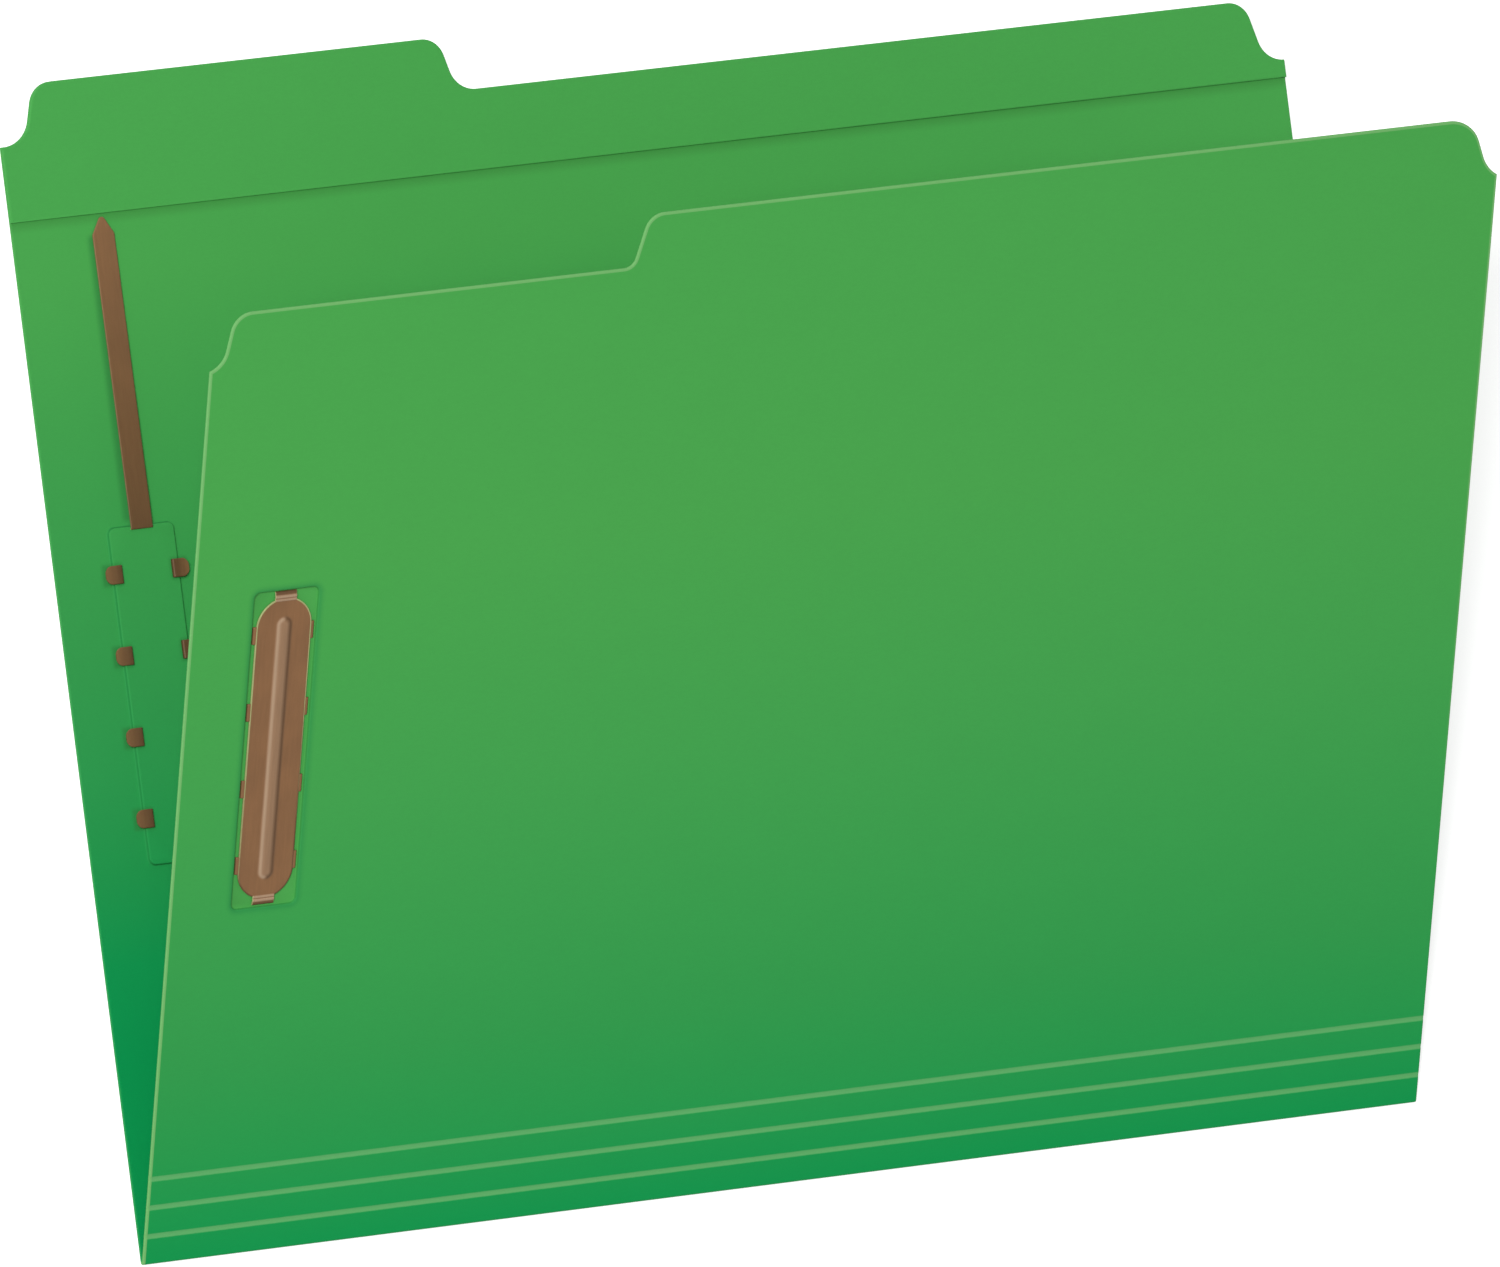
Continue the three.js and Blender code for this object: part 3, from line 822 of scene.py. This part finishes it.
def strip(number, look):
    """The flat board between two scores, or between the fold and the first one."""
    low = SCORES[number - 2] + SCORE_HALF if number > 1 else FOLD_HALF
    high = SCORES[number - 1] - SCORE_HALF
    return stretch(f"strip_{number}_board", look, [flat_row(low), flat_row(high)], on_front)


# Creased band across a score: (distance from its middle, dip, scored)
SCORE_PROFILE = (
    (-SCORE_HALF, 0, 0), (-0.74, 0, 0), (-0.53, 0.02, 0.55), (-0.3, 0.07, 1), (0, 0.1, 1),
    (0.3, 0.07, 1), (0.53, 0.02, 0.55), (0.74, 0, 0), (SCORE_HALF, 0, 0),
)


def score_line(number, look):
    """The creased band on a score."""
    middle = SCORES[number - 1]
    rows = [flat_row(middle + off, dip, scored) for off, dip, scored in SCORE_PROFILE]
    return stretch(f"score_{number}_line", look, rows, on_front)


FOLD_STEPS = 16


def fold_bend(look):
    """The board's bend round the fold, from the back panel's end to the first strip's."""
    def row(angle, up=(0.0, 0.0)):
        def shape(x, z):
            return x, up[0] - z * math.cos(angle), up[1] - z * math.sin(angle)
        return shape, 0.0
    start, end = -math.pi / 2, -1.5 * math.pi + OPEN_ANGLE
    rows = [row(start, (FOLD_HALF, 0.0))]
    rows += [row(start + (end - start) * i / FOLD_STEPS) for i in range(FOLD_STEPS + 1)]
    rows.append(row(end, (FOLD_HALF * math.cos(OPEN_ANGLE), FOLD_HALF * math.sin(OPEN_ANGLE))))
    return stretch("fold_bend", look, rows, on_back)


# Metal pieces

def bent_strip(sheet, path, half_width, spot, marks=None, half_thickness=None, wear=0.8):
    """A strip of metal along a path of (run, height) points; half_width gives its half width at
    each point, and spot turns (run, across, height) into the panel's x, y and z."""
    loops = []
    for i, (run, height) in enumerate(path):
        before = path[max(i - 1, 0)]
        after = path[min(i + 1, len(path) - 1)]
        along = Vector((after[0] - before[0], after[1] - before[1])).normalized()
        normal = Vector((-along.y, along.x))
        wide = half_width(i)
        thick = half_thickness(i) if half_thickness else METAL / 2
        cut = min(METAL_ROUND, 0.8 * thick, 0.8 * wide)
        flat = max(wide - cut - 0.2, 0.4 * wide)
        half = (
            (flat, thick, 0), (wide - cut, thick, 0.6), (wide, thick - cut, 1),
            (wide, cut - thick, 1), (wide - cut, -thick, 0.6), (flat, -thick, 0),
        )
        outline = half + tuple((-across, off, rim) for across, off, rim in reversed(half))
        loop = []
        for across, off, rim in outline:
            point = spot(run + normal.x * off, across, height + normal.y * off)
            extra = marks(i) if marks else {}
            loop.append(sheet.point(*point, rim=rim * wear, **extra))
        loops.append(loop)
    sheet.skin(loops)


def bend(centre, radius, start, end, steps=5):
    """Points of a path round a bend."""
    return [tuple(p) for p in arc(centre, radius, start, end, steps)]


def base_rings():
    """Rings of the base from its inner face round its edge and over the rib: (half width,
    half length, height, wear and painted highlight, painted highlight, painted shade)."""
    wide, long, r = BASE_HALF_WIDTH, BASE_HALF_LENGTH, METAL_ROUND
    rib, reach = RIB_HALF_WIDTH, RIB_HALF_LENGTH
    slant = r * (1 - math.sqrt(0.5))
    edge = [
        (wide - r, long - r, BASE_INNER, 0, 0, 0),
        (wide - slant, long - slant, BASE_INNER - slant, 1, 0, 0),
        (wide, long, BASE_INNER - r, 1, 0, 0),
        (wide, long, BASE_OUTER + r, 1, 0, 0),
        (wide - slant, long - slant, BASE_OUTER + slant, 1, 0, 0),
        (wide - r, long - r, BASE_OUTER, 1, 0, 0),
        (wide - r - 0.12, long - r - 0.12, BASE_OUTER, 1, 0, 0),
        (wide - r - 0.3, long - r - 0.3, BASE_OUTER, 0, 0, 0),
    ]
    profile = (  # over the rib's flank: (distance in from its side, painted highlight, painted shade)
        (-0.6, 0, 0), (-0.3, 0, 0.1), (-0.1, 0.1, 0.45), (0.08, 0.4, 0.8), (0.22, 0.75, 0.9),
        (0.4, 1, 0.9), (0.65, 0.9, 0.7), (0.9, 0.5, 0.4), (1.2, 0.4, 0), (1.5, 0.38, 0),
    )
    for off, pressed, shoulder in profile:
        rise = RIB_RISE * (1 - (1 - max(off, 0) / rib) ** 2)
        edge.append((rib - off, reach - off, BASE_OUTER - rise, 0, pressed, shoulder))
    return edge


def share_of(value):
    """A share kept from 0 to 1."""
    return min(max(value, 0), 1)


def add_base(sheet, place):
    """The fastener's flat base with its pressed rib, with painted highlight and painted shade on
    the rib and rim.
    """
    rings = []
    for wide, long, z, rim, pressed, shoulder in base_rings():
        ring = []
        for p in distinct(rounded_rectangle(wide, long, wide, 12)):
            right = share_of(0.5 + 1.6 * p.x / max(wide, 0.6))  # towards the rib's right flank, which gets painted shade
            shaded_end = share_of((0.9 * p.x - p.y - 16) / 10)  # the base's lower right end, where the rim gets painted shade
            ring.append(sheet.point(
                p.x + place[0], p.y + place[1], z, rim=rim * (1 - shaded_end),
                pressed=pressed * (1 - right * min(1, shoulder * 1.2)),
                shoulder=max(shoulder * right, rim * shaded_end),
            ))
        rings.append(ring)
    sheet.skin(rings)


def add_tangs(sheet, place):
    """The clinched tangs: each goes up through its slit, back in a hem over the slit's near side
    and outward again as a flap with a rounded end."""
    upright = UPRIGHT_X - METAL / 2
    up, turn = 0.3, 0.22  # bend radii
    path = [(BASE_HALF_WIDTH - 0.5, BASE_MIDDLE + 0.02), (upright - up, BASE_MIDDLE)]
    path += bend((upright - up, BASE_MIDDLE + up), up, -90, 0)[1:]
    path += bend((upright - turn, HEM_LOW), turn, 0, 80)
    path += bend((HEM_NEAR + METAL / 2 + turn, HEM_HIGH), turn, 260, 90, 8)
    hem = len(path)
    for back_off in (2.6, 2.0, TANG_ROUND, 1.15, 0.8, 0.5, 0.25, 0.1, 0.02):
        run = TANG_END - back_off
        path.append((run, path[hem - 1][1] - FLAP_DROP * (run - HEM_NEAR)))

    def flap_half(i):
        left = TANG_ROUND - (TANG_END - path[i][0])
        if left <= 0 or i < hem:
            return TANG_HALF_WIDTH
        return TANG_HALF_WIDTH - TANG_ROUND + math.sqrt(max(TANG_ROUND**2 - left**2, 0))

    def tang_marks(i):
        if i < 4:  # still beside the base
            return {}
        # Painted shade, full on the hem and fading out towards the flap's end
        left = (TANG_END - path[i][0]) / (TANG_END - HEM_NEAR)
        return {"shoulder": share_of(1.25 * left) if i >= hem else 1}

    for y in TANG_PLACES:
        for side in (1, -1):
            def tang_spot(run, across, height, side=side, y=y):
                return place[0] + side * run, place[1] + y + across, height
            bent_strip(sheet, path, flap_half, tang_spot, tang_marks, wear=0.2)


# Two ridges across a neck: (distance from the base's middle, height, painted highlight, painted
# shade)
NECK_RIDGES = (
    (31.95, 0.02, 0, 0), (32.1, -0.04, 0.3, 0), (32.22, -0.13, 0.8, 0), (32.35, -0.17, 1, 0),
    (32.48, -0.13, 0.6, 0), (32.62, -0.06, 0, 0.3), (32.75, -0.07, 0.2, 0),
    (32.88, -0.15, 0.9, 0), (33.02, -0.2, 1, 0), (33.18, -0.16, 0.8, 0),
    (33.35, -0.06, 0.2, 0.3), (33.5, 0.0, 0, 0.7),
)


def add_necks(sheet, place):
    """The necks from the base's ends up to the prongs."""
    upright, turn = UPRIGHT_Y - METAL / 2, 0.28
    path = [(run, BASE_MIDDLE + off) for run, off, _, _ in NECK_RIDGES]
    path += bend((upright - turn, BASE_MIDDLE + turn), turn, -80, 0)
    path += [(upright, FLAP_MIDDLE - 0.2), (upright, PRONG_AXIS_Z)]

    def neck_marks(i):
        pressed, shoulder = NECK_RIDGES[i][2:] if i < len(NECK_RIDGES) else (0, 1)
        return {"pressed": pressed, "shoulder": shoulder}

    for side in (1, -1):
        def neck_spot(run, across, height, side=side):
            return place[0] + across, place[1] + side * run, height
        bent_strip(sheet, path, lambda i: PRONG_HALF_WIDTH, neck_spot, neck_marks)


def fastener_metal(name, look, spot, place):
    """Base with its rib, the clinched tangs along its sides and the necks at its ends."""
    sheet = Sheet()
    add_base(sheet, place)
    add_tangs(sheet, place)
    add_necks(sheet, place)
    return sheet.build(name, spot, look)


def prong_metal(name, look, spot, place, length, end, angle):
    """A prong from the round heel on its bend to its cut tip, turned up by an angle."""
    sheet = Sheet()
    radius = METAL / 2
    heel = [(-radius * math.cos(math.radians(a)), 0.0) for a in (0, 20, 45, 70)]
    runs = [0.0, 0.8, 2.0, 12.0, 24.0, 36.0, 48.0, length - PRONG_TAPER]
    runs += [length - 1.2, length - 0.25, length]
    path = heel + [(run, 0.0) for run in runs]

    def half_width(i):
        left = length - path[i][0]
        if left >= PRONG_TAPER:
            return PRONG_HALF_WIDTH
        share = left / PRONG_TAPER
        half = PRONG_TIP_HALF + (PRONG_HALF_WIDTH - PRONG_TIP_HALF) * share
        return half if left else half - 0.15

    def half_thickness(i):
        run = path[i][0]
        return math.sqrt(max(radius**2 - run**2, 1e-6)) if run < 0 else radius

    def marks(i):
        # Painted shade, deepest at the root
        return {"shoulder": max(0.0, 1 - path[i][0] / length) * 0.8}

    def prong_spot(run, across, height):
        y = run * math.cos(angle) - height * math.sin(angle)
        z = run * math.sin(angle) + height * math.cos(angle)
        return place[0] + across, place[1] + end * (PRONG_AXIS_Y + y), PRONG_AXIS_Z + z

    bent_strip(sheet, path, half_width, prong_spot, marks, half_thickness, wear=0.3)
    return sheet.build(name, spot, look)


def dress(piece, body, slot_name, *nodes):
    """Put a piece on its body, in the place of the nodes that it stands for."""
    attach(piece, body)
    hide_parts(*nodes)


place_camera()
bpy.context.scene.view_settings.view_transform = "Standard"
studio_world()
studio_floor()
light("key", (-2.55, 0.55, 3.65), 1.5, LAMP_WATTS)

grain, wear, patch = fibre_grain_group(), pale_edge_group(), soft_patch_group()
green, brown = pressboard(grain, wear, patch), coated_steel(wear)

# Boards
OUTSIDE, INSIDE, SEAMED = {}, {"inside": 1}, {"inside": 1, "seamed": 1}


# A faint pale band of wear and painted highlight along the back's and the ply's edges
def faint_pale_band(point):
    return 0.15


def lit_and_handled_edge(point):
    """The front's pale band of wear and painted highlight goes all round, apart from the straight
    side at its right end, which faces away from the light.
    """
    return 0.0 if point.x > PANEL_WIDTH - 1.5 and point.y < FRONT_RIGHT - 0.5 else 1.0


back_board = board(
    "back_board", green, on_back, back_edge(FOLD_HALF), (-BOARD, 0.0), (OUTSIDE, SEAMED),
    faint_pale_band, place=BACK_FASTENER, wear=1.06,
)
dress(back_board, "back", "board", "back_panel")
ply = board(
    "top_ply_board", green, on_back, above(back_edge(0.0), PLY_EDGE), (0.0, BOARD),
    (INSIDE, INSIDE), faint_pale_band, closed=True, wear=0.7,
)
dress(ply, "back", "board", "back_top_ply")
cover = board(
    "cover_board", green, on_front, front_edge(SCORES[-1] + SCORE_HALF), (-BOARD, 0.0),
    (OUTSIDE, INSIDE), lit_and_handled_edge, place=FRONT_FASTENER,
)
dress(cover, "cover", "board", "front_panel")

for number in (1, 2, 3):
    dress(strip(number, green), f"strip_{number}", "board", f"gusset_strip_{number}")
    line = score_line(number, green)
    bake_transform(line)

# The bend round the fold turns from the back's side of the hinge to the strip's
fold = fold_bend(green)
half_turn = OPEN_ANGLE / 2
across = Vector((0, -math.sin(half_turn), math.cos(half_turn)))
across *= BOARD * math.cos(half_turn) / 1000
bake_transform(fold)

# Fasteners
for side, spot, place, body, length, folded in (
    ("back", on_back, BACK_FASTENER, "back", BACK_PRONG_LENGTH, PRONG_FLAT),
    ("front", on_front, FRONT_FASTENER, "cover", FRONT_PRONG_LENGTH, PRONG_FOLDED_IN),
):
    metal = fastener_metal(f"{side}_fastener_metal", brown, spot, place)
    dress(metal, body, "fastener_metal", f"{side}_fastener")
    for where, end, angle in (("upper", 1, PRONG_FLAT), ("lower", -1, folded)):
        prong = prong_metal(f"{side}_{where}_prong_metal", brown, spot, place, length, end, angle)
        dress(prong, f"{side}_{where}", "fastener_metal", f"{side}_{where}_prong")
